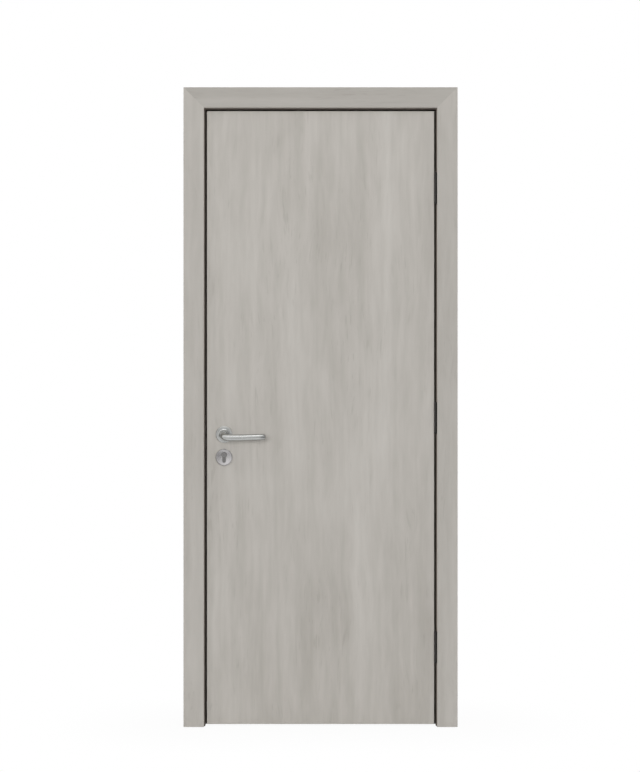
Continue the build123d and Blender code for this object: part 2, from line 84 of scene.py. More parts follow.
class Wiring:
    """Adds nodes to one node tree and joins them."""

    column_width = 190

    def __init__(self, tree: bpy.types.NodeTree) -> None:
        """Empty the tree and start at its first column.

        Args:
            tree: the node tree to fill.
        """
        self.tree = tree
        self.tree.nodes.clear()
        self.count = 0

    def node(self, kind: str, inputs: dict[str, Input] | None = None,
             **settings: object) -> bpy.types.Node:
        """Add a node.

        Args:
            kind: the node's Blender type name.
            inputs: what its input sockets get, by their names.
            settings: attributes to set on it.

        Returns:
            The new node.
        """
        node = self.tree.nodes.new(kind)
        node.location = (self.count * self.column_width, 0)
        self.count += 1
        for name, value in settings.items():
            setattr(node, name, value)
        for name, value in (inputs or {}).items():
            self.feed(node.inputs[name], value)
        return node

    def feed(self, socket: Socket, value: Input) -> None:
        """Link another socket to this one, or set its value.

        Args:
            socket: the input socket to fill.
            value: a socket to link from, or a plain value.
        """
        if isinstance(value, Socket):
            self.tree.links.new(value, socket)
        elif isinstance(value, tuple) and len(socket.default_value) == 4:
            socket.default_value = (*value, 1.0)
        else:
            socket.default_value = value

    def calc(self, mode: Sum, first: Input, second: Input = 0.0) -> Socket:
        """Join two values with a math node.

        Args:
            mode: what to work out.
            first: the first value.
            second: the second value.

        Returns:
            The result.
        """
        node = self.node("ShaderNodeMath", operation=mode.value)
        self.feed(node.inputs[0], first)
        self.feed(node.inputs[1], second)
        return node.outputs[0]

    def add(self, first: Input, second: Input) -> Socket:
        """Add two values."""
        return self.calc(Sum.ADD, first, second)

    def subtract(self, first: Input, second: Input) -> Socket:
        """Take the second value from the first."""
        return self.calc(Sum.SUBTRACT, first, second)

    def multiply(self, first: Input, second: Input) -> Socket:
        """Multiply two values."""
        return self.calc(Sum.MULTIPLY, first, second)

    def larger(self, first: Input, second: Input) -> Socket:
        """Keep the larger of two values."""
        return self.calc(Sum.LARGER, first, second)

    def unsigned(self, value: Input) -> Socket:
        """Drop a value's sign."""
        return self.calc(Sum.UNSIGNED, value)

    def noise(self, vector: Input, scale: Input, detail: float, roughness: float) -> Socket:
        """Add a noise texture.

        Args:
            vector: where to read it.
            scale: how fine it is.
            detail: how many finer layers it has.
            roughness: how strong the finer layers are.

        Returns:
            The noise value, about 0.5 on average.
        """
        node = self.node("ShaderNodeTexNoise", {"Vector": vector, "Scale": scale,
                                                "Detail": detail, "Roughness": roughness})
        return node.outputs["Fac"]

    def stretch(self, vector: Input, scale: Triple = (1.0, 1.0, 1.0),
                shift: Triple = (0.0, 0.0, 0.0), turn: Triple = (0.0, 0.0, 0.0)) -> Socket:
        """Scale, turn and shift a vector.

        Args:
            vector: the vector to change.
            scale: factors along its three axes.
            shift: what is added after the turn.
            turn: Euler angles of the turn.

        Returns:
            The changed vector.
        """
        node = self.node("ShaderNodeMapping", {"Vector": vector, "Scale": scale,
                                               "Location": shift, "Rotation": turn})
        return node.outputs[0]

    def ramp(self, value: Input, low: Input, high: Input, to_low: float = 0.0,
             to_high: float = 1.0) -> Socket:
        """Turn one range into another with soft ends.

        Args:
            value: what is mapped.
            low: the value that gives to_low.
            high: the value that gives to_high.
            to_low: the result at low.
            to_high: the result at high.

        Returns:
            The mapped value.
        """
        node = self.node("ShaderNodeMapRange",
                         {"Value": value, "From Min": low, "From Max": high,
                          "To Min": to_low, "To Max": to_high},
                         interpolation_type="SMOOTHSTEP")
        return node.outputs[0]

    def profile(self, value: Input, stops: tuple[Span, ...]) -> Socket:
        """Turn a value into another along a soft curve.

        Args:
            value: what is mapped, from -1 to 1.
            stops: pairs of a value and its result, in rising order.

        Returns:
            The mapped value.
        """
        node = self.node("ShaderNodeValToRGB")
        self.feed(node.inputs[0], self.multiply(self.add(value, 1.0), 0.5))
        curve = node.color_ramp
        curve.interpolation = "EASE"
        for place, _ in stops[1:-1]:
            curve.elements.new((place + 1.0) / 2)
        for element, (place, result) in zip(curve.elements, stops):
            element.position = (place + 1.0) / 2
            element.color = (result, result, result, 1.0)
        return node.outputs[0]

    def mix(self, factor: Input, first: Input, second: Input) -> Socket:
        """Mix two colours.

        Args:
            factor: how much of the second colour.
            first: the first colour.
            second: the second colour.

        Returns:
            The mixed colour.
        """
        node = self.node("ShaderNodeMix", data_type="RGBA")
        self.feed(node.inputs[0], factor)
        self.feed(node.inputs[6], first)
        self.feed(node.inputs[7], second)
        return node.outputs[2]

    def split(self, vector: Input) -> tuple[Socket, ...]:
        """Take a vector apart into its three numbers."""
        return tuple(self.node("ShaderNodeSeparateXYZ", {"Vector": vector}).outputs)

    def joined(self, x: Input, y: Input, z: Input) -> Socket:
        """Put three numbers together to a vector."""
        return self.node("ShaderNodeCombineXYZ", {"X": x, "Y": y, "Z": z}).outputs[0]

    def length(self, vector: Input) -> Socket:
        """Measure a vector."""
        node = self.node("ShaderNodeVectorMath", operation="LENGTH")
        self.feed(node.inputs[0], vector)
        return node.outputs["Value"]

    def bump(self, height: Input, depth: float, strength: float) -> Socket:
        """Turn a height into a normal.

        Args:
            height: the height, from 0 to 1.
            depth: how far a height of 1 stands out.
            strength: share of the effect.

        Returns:
            The bent normal.
        """
        node = self.node("ShaderNodeBump", {"Strength": strength, "Distance": depth,
                                            "Height": height})
        return node.outputs[0]

    def blend_shaders(self, factor: Input, first: bpy.types.Node,
                      second: bpy.types.Node) -> bpy.types.Node:
        """Blend two shaders.

        Args:
            factor: how much of the second shader.
            first: the first shader's node.
            second: the second shader's node.

        Returns:
            The node that blends them.
        """
        node = self.node("ShaderNodeMixShader")
        for socket, value in zip(node.inputs, (factor, first.outputs[0], second.outputs[0])):
            self.feed(socket, value)
        return node


def new_material(name: str) -> tuple[bpy.types.Material, Wiring, Socket]:
    """Start a material.

    Args:
        name: its name.

    Returns:
        The material, its wiring and its object coordinates.
    """
    made = bpy.data.materials.new(name)
    made.use_nodes = True
    wiring = Wiring(made.node_tree)
    return made, wiring, wiring.node("ShaderNodeTexCoord").outputs["Object"]


def times(colour: Colour, factor: float, lift: float = 0.0) -> Colour:
    """Make a colour darker or paler.

    Args:
        colour: the colour.
        factor: what each part is multiplied by.
        lift: what is added to each part.

    Returns:
        The new colour.
    """
    return tuple(part * factor + lift for part in colour)


@dataclass(frozen=True)
class Streak:
    """A broad pale or dark stretch on the leaf's face, in metres: most follow the veneer pattern,
    the widest is painted shade.
    """

    across: float
    half_width: float
    low: float
    high: float
    strength: float
    side_softness: float = 0.012
    end_softness: float = 0.16


@dataclass(frozen=True)
class Feature:
    """One size of mark in the printed grain, in metres."""

    across: float
    along: float
    detail: float = 2.0
    roughness: float = 0.5

    def tone(self, wiring: Wiring, vector: Input) -> Socket:
        """Read the marks.

        Args:
            wiring: the tree that takes the nodes.
            vector: across, through and along the board.

        Returns:
            A tone, 0 on average.
        """
        scale = (1.0 / self.across, 1.0 / self.across, 1.0 / self.along)
        value = wiring.noise(wiring.stretch(vector, scale), 1.0, self.detail, self.roughness)
        return wiring.subtract(value, 0.5)


class ShaderGroups:
    """Effects that several finishes share, each built once."""

    sway = Feature(0.450, 1.100)
    bend = Feature(0.090, 0.300, 1.0)
    broad = Feature(0.060, 1.300, 2.0, 0.50)
    narrow = Feature(0.016, 0.700, 2.0, 0.6)
    figure = Feature(0.018, 0.140, 2.0, 0.55)
    strokes = Feature(0.006, 0.080, 1.0)
    clouds = Feature(0.100, 0.300, 3.0, 0.6)
    fibres = Feature(0.0011, 0.035, 2.0, 0.5)
    dashes = Feature(0.0045, 0.045, 1.0)
    sway_reach = 0.09
    bend_reach = 0.05
    narrow_share = 0.35
    stroke_onset: Span = (0.12, 0.24)
    stroke_tone = -0.50
    dash_onset: Span = (0.14, 0.26)
    gathering: Span = (0.10, -0.12)
    smear_detail = 4.0
    smear_roughness = 0.5
    smear_onset: Span = (0.35, 0.75)

    def __init__(self) -> None:
        """Build every shared group."""
        self.stretch_group = self.build_stretch()
        self.grain_group = self.build_grain()
        self.wear_group = self.build_wear()

    @staticmethod
    def start(name: str, inputs: dict[str, str], outputs: dict[str, str]
              ) -> tuple[bpy.types.NodeTree, Wiring, Sockets, Sockets]:
        """Make an empty group with its sockets.

        Args:
            name: the group's name.
            inputs: input names and their socket types.
            outputs: output names and their socket types.

        Returns:
            The group, its wiring, the sockets to read from and those to fill.
        """
        tree = bpy.data.node_groups.new(name, "ShaderNodeTree")
        wiring = Wiring(tree)
        for label, kind in inputs.items():
            tree.interface.new_socket(name=label, in_out="INPUT", socket_type=kind)
        for label, kind in outputs.items():
            tree.interface.new_socket(name=label, in_out="OUTPUT", socket_type=kind)
        entry = wiring.node("NodeGroupInput")
        return tree, wiring, entry.outputs, wiring.node("NodeGroupOutput").inputs

    def build_stretch(self) -> bpy.types.NodeTree:
        """Build the group that marks one broad stretch of the veneer.

        Returns:
            The group. Its Tone is Strength inside the stretch and 0 outside.
        """
        names = ("Across", "Along", "Middle", "Half Width", "Low", "High", "Side", "End",
                 "Strength")
        tree, wiring, get, give = self.start(
            "Veneer stretch", {name: NUMBER for name in names}, {"Tone": NUMBER})
        distance = wiring.unsigned(wiring.subtract(get["Across"], get["Middle"]))
        outer = wiring.add(get["Half Width"], get["Side"])
        inner = wiring.subtract(get["Half Width"], get["Side"])
        side = wiring.ramp(distance, outer, inner)
        foot = wiring.ramp(get["Along"], get["Low"], wiring.add(get["Low"], get["End"]))
        top = wiring.ramp(get["Along"], get["High"], wiring.subtract(get["High"], get["End"]))
        inside = wiring.multiply(side, wiring.multiply(foot, top))
        wiring.feed(give["Tone"], wiring.multiply(inside, get["Strength"]))
        return tree

    def build_grain(self) -> bpy.types.NodeTree:
        """Build the printed oak grain.

        Returns:
            The group. Its Vector runs across, through and along the board; Tone is about 0
            on average, Pores marks the dark dashes and Height is the pressed texture.
        """
        tree, wiring, get, give = self.start(
            "Oak grain",
            {"Vector": VECTOR, "Bands": NUMBER, "Figure": NUMBER, "Fibres": NUMBER},
            {"Tone": NUMBER, "Pores": NUMBER, "Height": NUMBER})
        vector = get["Vector"]
        swayed = self.swung(wiring, vector, self.sway, self.sway_reach)
        bent = self.swung(wiring, vector, self.bend, self.bend_reach)
        narrow = wiring.multiply(self.narrow.tone(wiring, swayed), self.narrow_share)
        bands = wiring.add(self.broad.tone(wiring, swayed), narrow)
        clouds = self.clouds.tone(wiring, vector)
        gathered = wiring.ramp(clouds, *self.gathering)
        strokes = wiring.ramp(self.strokes.tone(wiring, bent), *self.stroke_onset,
                              to_high=self.stroke_tone)
        figure = wiring.add(wiring.add(self.figure.tone(wiring, bent), clouds),
                            wiring.multiply(strokes, gathered))
        fibres = self.fibres.tone(wiring, vector)
        tone = wiring.multiply(bands, get["Bands"])
        for layer, weight in ((figure, get["Figure"]), (fibres, get["Fibres"])):
            tone = wiring.add(tone, wiring.multiply(layer, weight))
        dashes = wiring.ramp(self.dashes.tone(wiring, bent), *self.dash_onset)
        pores = wiring.multiply(dashes, gathered)
        wiring.feed(give["Tone"], tone)
        wiring.feed(give["Pores"], pores)
        wiring.feed(give["Height"], wiring.subtract(wiring.add(fibres, 0.5), pores))
        return tree

    @staticmethod
    def swung(wiring: Wiring, vector: Input, swing: Feature, reach: float) -> Socket:
        """Let the grain wander sideways.

        Args:
            wiring: the group's wiring.
            vector: across, through and along.
            swing: how wide and long a swing is.
            reach: how far the noise moves it, in metres.

        Returns:
            The vector with its across part moved.
        """
        across, through, along = wiring.split(vector)
        shift = wiring.multiply(swing.tone(wiring, vector), reach)
        return wiring.joined(wiring.add(across, shift), through, along)

    def build_wear(self) -> bpy.types.NodeTree:
        """Build the faint marks that handling leaves.

        Returns:
            The group. Its Marks are small smears, from 0 to 1.
        """
        tree, wiring, get, give = self.start(
            "Handling marks", {"Vector": VECTOR, "Size": NUMBER}, {"Marks": NUMBER})
        smears = wiring.noise(get["Vector"], get["Size"], self.smear_detail,
                              self.smear_roughness)
        wiring.feed(give["Marks"], wiring.ramp(smears, *self.smear_onset))
        return tree

    def grain(self, wiring: Wiring, inputs: dict[str, Input]) -> bpy.types.Node:
        """Put the oak grain into a material."""
        return wiring.node("ShaderNodeGroup", inputs, node_tree=self.grain_group)

    def stretch(self, wiring: Wiring, inputs: dict[str, Input]) -> Socket:
        """Put one stretch of the veneer into a material and give its tone."""
        node = wiring.node("ShaderNodeGroup", inputs, node_tree=self.stretch_group)
        return node.outputs["Tone"]

    def marks(self, wiring: Wiring, vector: Input, size: float) -> Socket:
        """Put the handling marks into a material and give them, from 0 to 1."""
        node = wiring.node("ShaderNodeGroup", {"Vector": vector, "Size": size},
                           node_tree=self.wear_group)
        return node.outputs["Marks"]


@dataclass(frozen=True)
class Laminate:
    """Printed oak laminate, matt, with its grain along a board."""

    name: str
    pale: Colour
    dark: Colour
    pore: Colour
    run: GrainRun = GrainRun.UP
    place: Triple = (0.0, 0.0, 0.0)
    bands: float = 0.85
    figure: float = 0.55
    fibres: float = 0.17
    tone_reach: float = 0.75
    pore_strength: float = 0.20
    roughness: float = 0.52
    rougher: float = 0.06
    smoother: float = 0.04
    height_span: Span = (0.2, 0.8)
    specular: float = 0.28
    texture_depth: float = 0.06 * MM
    texture_strength: float = 0.4
    # shade multiplies the colours; below 1 it darkens a copy of the laminate as painted shade.
    shade: float = 1.0
    streaks: tuple[Streak, ...] = ()
    ragged: Feature = Feature(1 / 60, 1 / 6, 4.0, 0.65)
    ragged_span: Span = (-0.3, 0.2)
    ragged_share: Span = (0.35, 1.25)
    wobble: Feature = Feature(1 / 3, 1 / 1.6)
    wobble_reach: float = 0.035

    def material(self, groups: ShaderGroups) -> bpy.types.Material:
        """Build the material.

        Args:
            groups: the shared effects.

        Returns:
            The material.
        """
        made, wiring, object_place = new_material(self.name)
        turn = (0.0, QUARTER_TURN if self.run is GrainRun.ACROSS else 0.0, 0.0)
        grain = groups.grain(wiring, {
            "Vector": wiring.stretch(object_place, shift=self.place, turn=turn),
            "Bands": self.bands, "Figure": self.figure, "Fibres": self.fibres})
        tone = grain.outputs["Tone"]
        if self.streaks:
            tone = self.with_streaks(wiring, groups, object_place, tone)
        colour = wiring.mix(wiring.ramp(tone, -self.tone_reach, self.tone_reach),
                            times(self.dark, self.shade), times(self.pale, self.shade))
        pores = wiring.multiply(grain.outputs["Pores"], self.pore_strength)
        height = grain.outputs["Height"]
        shader = wiring.node("ShaderNodeBsdfPrincipled", {
            "Base Color": wiring.mix(pores, colour, self.pore),
            "Roughness": wiring.ramp(height, *self.height_span, self.roughness + self.rougher,
                                     self.roughness - self.smoother),
            "Specular IOR Level": self.specular,
            "Normal": wiring.bump(height, self.texture_depth, self.texture_strength)})
        wiring.node("ShaderNodeOutputMaterial", {"Surface": shader.outputs[0]})
        return made

    def with_streaks(self, wiring: Wiring, groups: ShaderGroups, place: Input,
                     tone: Input) -> Socket:
        """Add the broad stretches to the tone: the veneer pattern's, and a painted shade low on the
        leaf.

        Args:
            wiring: the material's wiring.
            groups: the shared effects.
            place: the object coordinates.
            tone: the tone so far.

        Returns:
            The tone with the stretches in it.
        """
        patches = wiring.ramp(self.ragged.tone(wiring, place), *self.ragged_span,
                              *self.ragged_share)
        across, _, along = wiring.split(place)
        shift = wiring.multiply(self.wobble.tone(wiring, place), self.wobble_reach)
        across = wiring.add(across, shift)
        for streak in self.streaks:
            marked = groups.stretch(wiring, {
                "Across": across, "Along": along, "Middle": streak.across,
                "Half Width": streak.half_width, "Low": streak.low, "High": streak.high,
                "Side": streak.side_softness, "End": streak.end_softness,
                "Strength": streak.strength})
            tone = wiring.add(tone, wiring.multiply(marked, patches))
        return tone


@dataclass(frozen=True)
class Metal:
    """Brushed or satin metal, with lines that run round a point or along an axis."""

    name: str
    colour: Colour
    roughness: float
    line_scale: Triple
    metallic: float = 1.0
    line_depth: float = 0.003 * MM
    line_strength: float = 0.4
    line_detail: float = 4.0
    line_roughness: float = 0.6
    centre: Triple | None = None
    mark_size: float = 60.0
    tint_span: Span = (0.3, 0.7)
    tint: float = 0.10
    darkest: float = 0.72
    rough_span: Span = (0.25, 0.75)
    smoother: float = 0.03
    rougher: float = 0.05
    smear: float = 0.04

    def material(self, groups: ShaderGroups) -> bpy.types.Material:
        """Build the material.

        Args:
            groups: the shared effects.

        Returns:
            The material.
        """
        made, wiring, place = new_material(self.name)
        vector = place
        if self.centre is not None:
            back = tuple(-value for value in self.centre)
            x, y, z = wiring.split(wiring.stretch(place, shift=back))
            vector = wiring.joined(wiring.length(wiring.joined(x, 0.0, z)), y, 0.0)
        lines = wiring.noise(wiring.stretch(vector, self.line_scale), 1.0, self.line_detail,
                             self.line_roughness)
        tint = wiring.ramp(lines, *self.tint_span, to_high=self.tint)
        base = wiring.ramp(lines, *self.rough_span, self.roughness - self.smoother,
                           self.roughness + self.rougher)
        smears = wiring.multiply(groups.marks(wiring, place, self.mark_size), self.smear)
        shader = wiring.node("ShaderNodeBsdfPrincipled", {
            "Base Color": wiring.mix(tint, self.colour, times(self.colour, self.darkest)),
            "Metallic": self.metallic,
            "Roughness": wiring.add(base, smears),
            "Normal": wiring.bump(lines, self.line_depth, self.line_strength)})
        wiring.node("ShaderNodeOutputMaterial", {"Surface": shader.outputs[0]})
        return made


@dataclass(frozen=True)
class SoftSeal:
    """Dark soft seal with a fine pebbled skin and a little dust."""

    name: str
    colour: Colour
    roughness: float
    rougher: float = 0.08
    smoother: float = 0.05
    specular: float = 0.3
    pebble_scale: float = 2600.0
    pebble_detail: float = 2.0
    pebble_roughness: float = 0.6
    pebble_span: Span = (0.3, 0.7)
    pebble_depth: float = 0.05 * MM
    pebble_strength: float = 0.5
    dust: float = 0.25
    dust_size: float = 45.0
    dust_run: Triple = (1.0, 1.0, 0.15)
    dust_factor: float = 1.8
    dust_lift: float = 0.01

    def material(self, groups: ShaderGroups) -> bpy.types.Material:
        """Build the material.

        Args:
            groups: the shared effects.

        Returns:
            The material.
        """
        made, wiring, place = new_material(self.name)
        pebbles = wiring.noise(place, self.pebble_scale, self.pebble_detail,
                               self.pebble_roughness)
        marks = groups.marks(wiring, wiring.stretch(place, self.dust_run), self.dust_size)
        dusty = times(self.colour, self.dust_factor, self.dust_lift)
        shader = wiring.node("ShaderNodeBsdfPrincipled", {
            "Base Color": wiring.mix(wiring.multiply(marks, self.dust), self.colour, dusty),
            "Roughness": wiring.ramp(pebbles, *self.pebble_span,
                                     self.roughness - self.smoother,
                                     self.roughness + self.rougher),
            "Specular IOR Level": self.specular,
            "Normal": wiring.bump(pebbles, self.pebble_depth, self.pebble_strength)})
        wiring.node("ShaderNodeOutputMaterial", {"Surface": shader.outputs[0]})
        return made


class Finishes:
    """Builds each finish once, when it is first asked for."""

    def __init__(self) -> None:
        """Build the shared groups."""
        self.groups = ShaderGroups()
        self.made: dict[str, bpy.types.Material] = {}

    def add(self, finish: Laminate | Metal | SoftSeal) -> bpy.types.Material:
        """Build one finish once.

        Args:
            finish: what to build.

        Returns:
            Its material.
        """
        if finish.name not in self.made:
            self.made[finish.name] = finish.material(self.groups)
            log.info("finish %s", finish.name)
        return self.made[finish.name]

    def dress(self, node: str, finish: Laminate | Metal | SoftSeal) -> None:
        """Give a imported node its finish.

        Args:
            node: the node's name.
            finish: the finish.
        """
        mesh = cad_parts[node].data
        mesh.materials.clear()
        mesh.materials.append(self.add(finish))
        log.info("node %s: %s", node, finish.name)


def middle_of(node: str) -> Vector:
    """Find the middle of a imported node's box.

    Args:
        node: the node's name.

    Returns:
        The point, in metres.
    """
    low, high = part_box(node)
    return (low + high) / 2


def new_piece(name: str, shape: bmesh.types.BMesh, material: bpy.types.Material, body: str) -> None:
    """Turn a bmesh into a piece that rides on a body.

    Args:
        name: the piece's name.
        shape: its shape, in place.
        material: its finish.
        body: the body that it rides on.
    """
    bmesh.ops.remove_doubles(shape, verts=shape.verts, dist=MERGE_DISTANCE)
    bmesh.ops.recalc_face_normals(shape, faces=shape.faces)
    mesh = bpy.data.meshes.new(name)
    shape.to_mesh(mesh)
    shape.free()
    mesh.materials.append(material)
    piece = bpy.data.objects.new(name, mesh)
    bpy.context.scene.collection.objects.link(piece)
    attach(piece, body)
    log.info("piece %s: %d faces, rides on %s", name, len(mesh.polygons), body)


def facing_x(spot: Vector, out: int) -> Matrix:
    """Place something so that its +Z looks along X.

    Args:
        spot: where it goes.
        out: 1 to look towards +X, -1 towards -X.

    Returns:
        The placement.
    """
    return Matrix.Translation(spot) @ Matrix.Rotation(out * QUARTER_TURN, 4, "Y")


def facing_y(spot: Vector, out: int) -> Matrix:
    """Place something so that its +Z looks along Y, with its own Y upright.

    Args:
        spot: where it goes.
        out: 1 to look towards +Y, -1 towards -Y.

    Returns:
        The placement.
    """
    return Matrix.Translation(spot) @ Matrix.Rotation(-out * QUARTER_TURN, 4, "X")


def pierced_disc(shape: bmesh.types.BMesh, place: Matrix, radius: float, sides: int,
                 hole: list[Span]) -> tuple[list[bmesh.types.BMEdge], list[bmesh.types.BMEdge]]:
    """Add a flat disc with a hole through its middle.

    Args:
        shape: the bmesh that takes it.
        place: where its middle goes, with +Z out of its face.
        radius: its radius.
        sides: how many sides its rim has.
        hole: the corners of the hole, in order round it.

    Returns:
        The edges of the rim and those of the hole.
    """
    rim = bmesh.ops.create_circle(shape, segments=sides, radius=radius, matrix=place)["verts"]
    corners = [shape.verts.new(place @ Vector((x, y, 0.0))) for x, y in hole]
    hole_edges = [shape.edges.new((corners[i - 1], corners[i])) for i in range(len(corners))]
    rim_edges = list(dict.fromkeys(edge for vert in rim for edge in vert.link_edges))
    bmesh.ops.bridge_loops(shape, edges=rim_edges + hole_edges)
    return rim_edges, hole_edges


def pulled(shape: bmesh.types.BMesh, edges: list[bmesh.types.BMEdge], shift: Vector
           ) -> tuple[list[bmesh.types.BMVert], list[bmesh.types.BMEdge]]:
    """Pull a wall out of a loop of edges.

    Args:
        shape: the bmesh that holds them.
        edges: the loop.
        shift: how far the wall reaches, and which way.

    Returns:
        The corners and the edges at the wall's far end.
    """
    made = bmesh.ops.extrude_edge_only(shape, edges=edges)["geom"]
    corners = [item for item in made if isinstance(item, bmesh.types.BMVert)]
    bmesh.ops.translate(shape, verts=corners, vec=shift)
    loop = [item for item in made if isinstance(item, bmesh.types.BMEdge)
            and all(vert in corners for vert in item.verts)]
    return corners, loop


@dataclass(frozen=True)
class Screw:
    """A countersunk screw with a cross recess, seen from its head."""

    head_radius: float = 3.9 * MM
    head_depth: float = 1.4 * MM
    shank_radius: float = 2.0 * MM
    cross_reach: float = 2.1 * MM
    cross_half_width: float = 0.45 * MM
    cross_depth: float = 1.1 * MM
    sides: int = 24

    def cross(self) -> list[Span]:
        """Give the twelve corners of the cross recess, in order round it."""
        reach = self.cross_reach
        half = self.cross_half_width
        arm = [(half, half), (half, reach), (-half, reach)]
        corners = []
        for quarter in range(4):
            turn = Matrix.Rotation(quarter * QUARTER_TURN, 2)
            corners += [tuple(turn @ Vector(point)) for point in arm]
        return corners

    def into(self, shape: bmesh.types.BMesh, place: Matrix) -> None:
        """Add one screw head to a shape.

        Args:
            shape: the bmesh that takes it.
            place: where the middle of the head goes, with +Z out of the surface.
        """
        rim, recess = pierced_disc(shape, place, self.head_radius, self.sides, self.cross())
        inwards = place.to_3x3() @ Vector((0.0, 0.0, -1.0))
        _, floor = pulled(shape, recess, inwards * self.cross_depth)
        bmesh.ops.contextual_create(shape, geom=floor)
        ring, ring_edges = pulled(shape, rim, inwards * self.head_depth)
        centre = place @ Vector((0.0, 0.0, -self.head_depth))
        shrink = self.shank_radius / self.head_radius
        bmesh.ops.scale(shape, verts=ring, vec=(shrink, shrink, shrink),
                        space=Matrix.Translation(-centre))
        bmesh.ops.contextual_create(shape, geom=ring_edges)


@dataclass(frozen=True)
class Boards:
    """Jambs, casings and the leaf, all in the same laminate."""

    pale: Colour = (0.545, 0.522, 0.488)
    dark: Colour = (0.372, 0.350, 0.318)
    pore: Colour = (0.235, 0.216, 0.190)
    # The side boards and, more, the head boards are darker copies of the leaf's laminate: painted
    # shade.
    side_painted_shade: float = 0.965
    head_painted_shade: float = 0.885
    narrow_bands: float = 0.6
    narrow_figure: float = 0.4
    next_board: Triple = (1.37, 0.822, 0.411)
    rear_place: Triple = (3.1, 0.9, 0.4)
    edge_place: Triple = (5.3, 1.7, 0.2)
    core: Laminate = Laminate("Raw core board", pale=(0.52, 0.40, 0.26), dark=(0.42, 0.31, 0.19),
                              pore=(0.30, 0.21, 0.12), bands=0.6, roughness=0.75)

    def laminate(self, name: str, **options: object) -> Laminate:
        """Make a laminate in the door's colours.

        Args:
            name: its name.
            options: other fields of the laminate.

        Returns:
            The laminate.
        """
        return Laminate(f"Laminate {name}", self.pale, self.dark, self.pore, **options)

    def dress(self, finishes: Finishes) -> None:
        """Give every board its laminate, with the grain along it.

        Args:
            finishes: the finish maker.
        """
        boards = [(piece, side) for piece in ("casing_front", "casing_rear", "jamb")
                  for side in ("hinge", "lock", "head")]
        for number, (piece, side) in enumerate(boards, start=1):
            # Each jamb and casing gets its copy of the laminate darkened: painted shade, the head
            # boards most.
            head = side == "head"
            finishes.dress(f"{piece}_{side}", self.laminate(
                f"{piece} {side}", run=GrainRun.ACROSS if head else GrainRun.UP,
                place=tuple(number * step for step in self.next_board),
                bands=self.narrow_bands, figure=self.narrow_figure,
                shade=self.head_painted_shade if head else self.side_painted_shade))
        finishes.dress("leaf_skin_front",
                       self.laminate("leaf front", streaks=self.front_streaks()))
        finishes.dress("leaf_skin_rear", self.laminate("leaf rear", place=self.rear_place))
        edge = self.laminate("leaf edges", place=self.edge_place, bands=self.narrow_bands)
        for side in ("hinge", "lock", "top", "bottom"):
            finishes.dress(f"leaf_lipping_{side}", edge)
        finishes.dress("leaf_core", self.core)

    @staticmethod
    def front_streaks() -> tuple[Streak, ...]:
        """Lay out the broad stretches on the leaf's front face.

        Returns:
            The stretches, pale ones with a positive strength.
        """
        return (
            Streak(-0.218, 0.042, 0.75, 2.10, 0.17),
            Streak(-0.500, 0.032, 0.72, 1.72, 0.13, 0.018),
            # As wide as the leaf and low on it: painted shade, darker towards the bottom.
            Streak(-0.404, 0.600, -0.80, 0.85, -0.10, 0.010, 0.70),
            Streak(-0.730, 0.034, 1.45, 2.10, 0.14, 0.018),
            Streak(-0.395, 0.030, 1.10, 1.95, -0.13, 0.022),
            Streak(-0.362, 0.060, 0.18, 0.72, -0.14, 0.030),
            Streak(-0.615, 0.036, 0.02, 0.60, -0.16, 0.024),
            Streak(-0.560, 0.050, 1.05, 1.75, 0.08, 0.030),
            Streak(-0.280, 0.030, 0.10, 0.95, 0.08, 0.020),
        )


@dataclass(frozen=True)
class Seals:
    """The dark seals round the leaf."""

    skin: SoftSeal = SoftSeal("Dark seal", (0.125, 0.106, 0.090), roughness=0.62)

    def dress(self, finishes: Finishes) -> None:
        """Give the seals their finish.

        Args:
            finishes: the finish maker.
        """
        for side in ("hinge", "lock", "head"):
            finishes.dress(f"seal_{side}", self.skin)


@dataclass(frozen=True)
class Hinges:
    """The three dark pin hinges and their screws."""

    plate_thickness: float = 2.5 * MM
    row_reach: float = 32 * MM
    columns_from_edge: Span = (9 * MM, 23 * MM)
    screw_sunk: float = 0.15 * MM
    screw: Screw = Screw()
    coat: Metal = Metal("Dark hinge coating", (0.022, 0.020, 0.018), roughness=0.45,
                        line_scale=(900.0, 900.0, 60.0), metallic=0.4, mark_size=90.0)
    steel: Metal = Metal("Dark screw steel", (0.05, 0.046, 0.043), roughness=0.36,
                         line_scale=(500.0, 500.0, 500.0), metallic=0.8, mark_size=300.0)

    def dress(self, finishes: Finishes) -> None:
        """Give the plates and pins their finish.

        Args:
            finishes: the finish maker.
        """
        for place in HINGE_PLACES:
            for piece in ("frame_plate", "leaf_plate", "pin"):
                finishes.dress(f"hinge_{place}_{piece}", self.coat)

    def screws(self, finishes: Finishes) -> None:
        """Put four screws in each plate.

        Args:
            finishes: the finish maker.
        """
        for place in HINGE_PLACES:
            middle = middle_of(f"hinge_{place}_pin").z
            for body, out in (("frame", -1), ("leaf", 1)):
                low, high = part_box(f"hinge_{place}_{body}_plate")
                back_x = high.x if out < 0 else low.x
                face_x = back_x + out * (self.plate_thickness - self.screw_sunk)
                shape = bmesh.new()
                for inset in self.columns_from_edge:
                    for row in (-1, 1):
                        spot = Vector((face_x, high.y - inset, middle + row * self.row_reach))
                        self.screw.into(shape, facing_x(spot, out))
                new_piece(f"hinge_{place}_{body}_screws", shape, finishes.add(self.steel), body)


